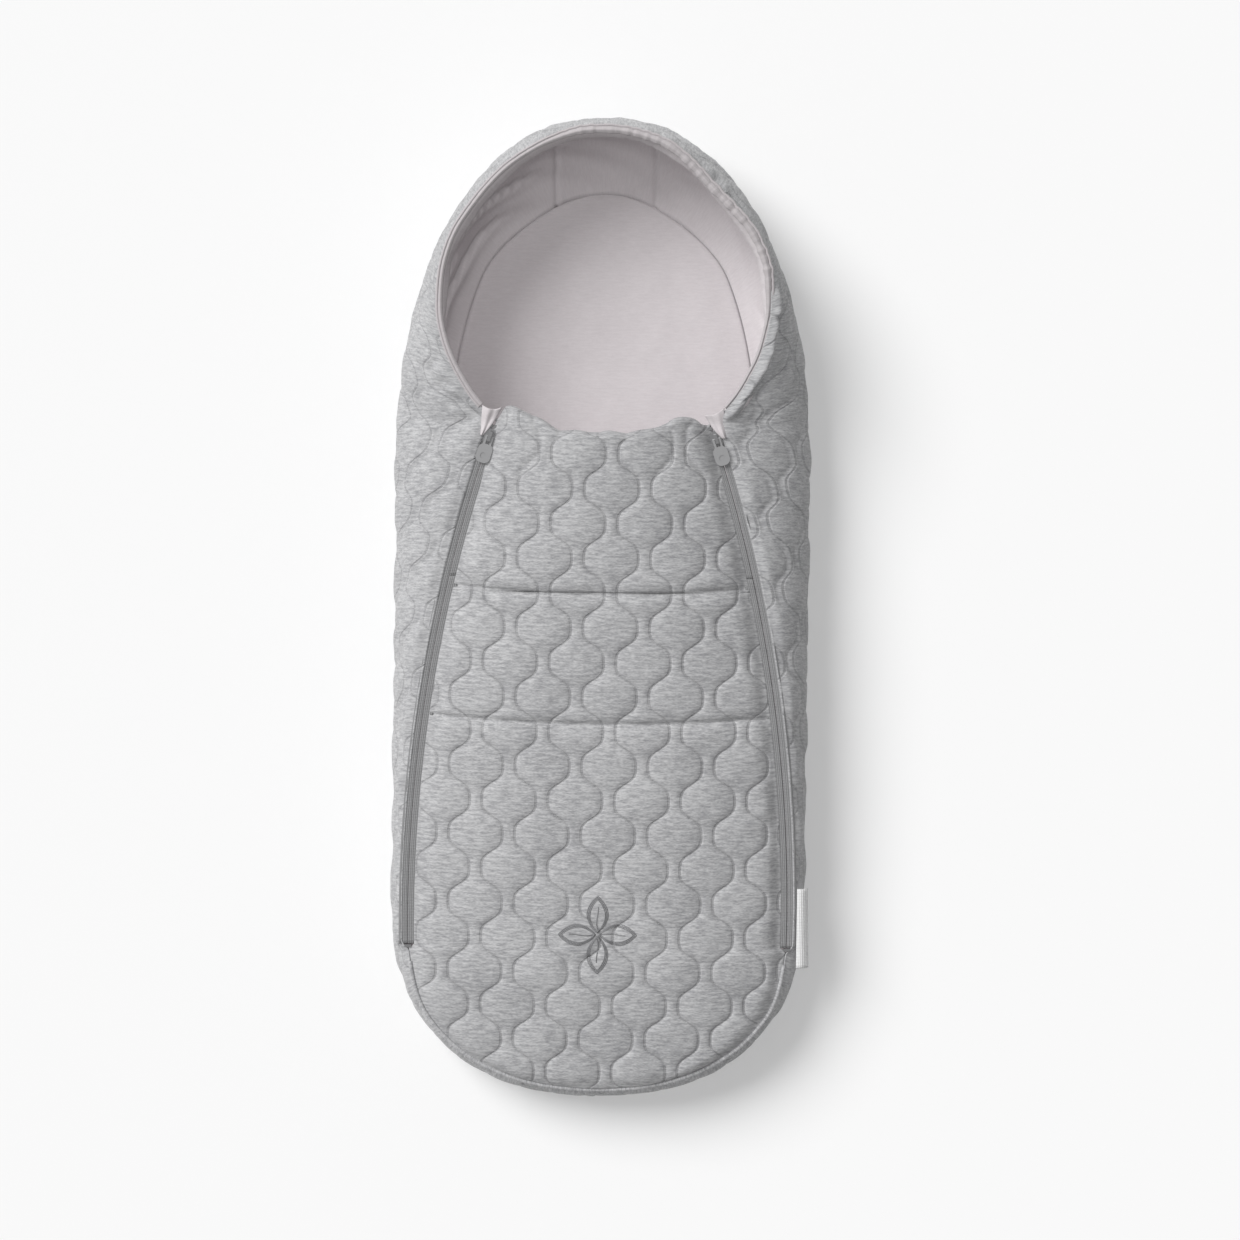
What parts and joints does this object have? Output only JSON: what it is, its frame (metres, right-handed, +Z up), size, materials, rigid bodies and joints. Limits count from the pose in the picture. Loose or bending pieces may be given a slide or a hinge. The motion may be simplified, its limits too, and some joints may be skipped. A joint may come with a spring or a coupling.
{
  "type": "baby sleeping bag",
  "caption": "Quilted newborn sleeping bag with a hooded head opening, a zip down each side and a front cover that folds open.",
  "frame": {"origin": "middle of the bag's box on the surface it lies on", "axes": "+X across the bag, +Y to the head, +Z up from the back to the front cover"},
  "size_m": [0.32, 0.7594, 0.1084],
  "materials": {
    "outer_jersey": "melange cotton jersey, quilted",
    "lining_jersey": "plain fine jersey",
    "wadding": "polyester wadding",
    "zip_tape": "woven tape",
    "zip_coil": "nylon coil",
    "slider_metal": "matt lacquered zinc",
    "elastic": "covered elastic",
    "embroidery": "satin-stitched thread",
    "label_tape": "woven satin tape, blank"
  },
  "bodies": {
    "shell": {"back_lining": "lining_jersey", "back_outer": "outer_jersey", "back_wadding": "wadding", "bottom_stops": "zip_coil", "foot_panel_lining": "lining_jersey", "foot_panel_outer": "outer_jersey", "foot_panel_wadding": "wadding", "foot_piping": "outer_jersey", "hood_centre_lining": "lining_jersey", "hood_centre_wadding": "wadding", "hood_left_lining": "lining_jersey", "hood_left_wadding": "wadding", "hood_outer": "outer_jersey", "hood_right_lining": "lining_jersey", "hood_right_wadding": "wadding", "label": "label_tape", "left_wall_coil": "zip_coil", "left_wall_lining": "lining_jersey", "left_wall_outer": "outer_jersey", "left_wall_tape": "zip_tape", "left_wall_wadding": "wadding", "left_zip_garage": "lining_jersey", "right_wall_coil": "zip_coil", "right_wall_lining": "lining_jersey", "right_wall_outer": "outer_jersey", "right_wall_tape": "zip_tape", "right_wall_wadding": "wadding", "right_zip_garage": "lining_jersey", "rim_binding": "lining_jersey", "rim_elastic": "elastic", "wall_top_stops": "zip_coil"},
    "cover": {"cover_lower_outer": "outer_jersey", "cover_main_lining": "lining_jersey", "cover_main_wadding": "wadding", "cover_middle_outer": "outer_jersey", "left_main_coil": "zip_coil", "left_main_tape": "zip_tape", "motif": "embroidery", "right_main_coil": "zip_coil", "right_main_tape": "zip_tape"},
    "flap": {"cover_top_stops": "zip_coil", "cover_upper_lining": "lining_jersey", "cover_upper_outer": "outer_jersey", "cover_upper_wadding": "wadding", "left_upper_coil": "zip_coil", "left_upper_tape": "zip_tape", "right_upper_coil": "zip_coil", "right_upper_tape": "zip_tape"},
    "left_slider": {"left_slider": "slider_metal"},
    "right_slider": {"right_slider": "slider_metal"},
    "left_pull": {"left_pull": "slider_metal"},
    "right_pull": {"right_pull": "slider_metal"}
  },
  "joints": [
    {"name": "cover_fold", "type": "hinge", "parent": "shell", "child": "cover", "pos_m": [0, -0.28293, 0.07472], "axis": [1, 0, 0], "range_deg": [0, 170]},
    {"name": "flap_fold", "type": "hinge", "parent": "cover", "child": "flap", "pos_m": [0, 0.02291, 0.10277], "axis": [1, 0, 0], "range_deg": [0, 170]},
    {"name": "left_zip_travel", "type": "hinge", "parent": "shell", "child": "left_slider", "pos_m": [1.03029, -0.23919, 0.05534], "axis": [0, -0.0819, 0.9966], "range_deg": [0, 19.11]},
    {"name": "right_zip_travel", "type": "hinge", "parent": "shell", "child": "right_slider", "pos_m": [-1.03029, -0.23919, 0.05534], "axis": [0, 0.0819, -0.9966], "range_deg": [0, 19.11]},
    {"name": "left_pull_swing", "type": "hinge", "parent": "left_slider", "child": "left_pull", "pos_m": [-0.08679, 0.13157, 0.08943], "axis": [-0.9487, 0.3151, 0.0259], "range_deg": [0, 150]},
    {"name": "right_pull_swing", "type": "hinge", "parent": "right_slider", "child": "right_pull", "pos_m": [0.08679, 0.13157, 0.08943], "axis": [-0.9487, -0.3151, -0.0259], "range_deg": [0, 150]}
  ]
}
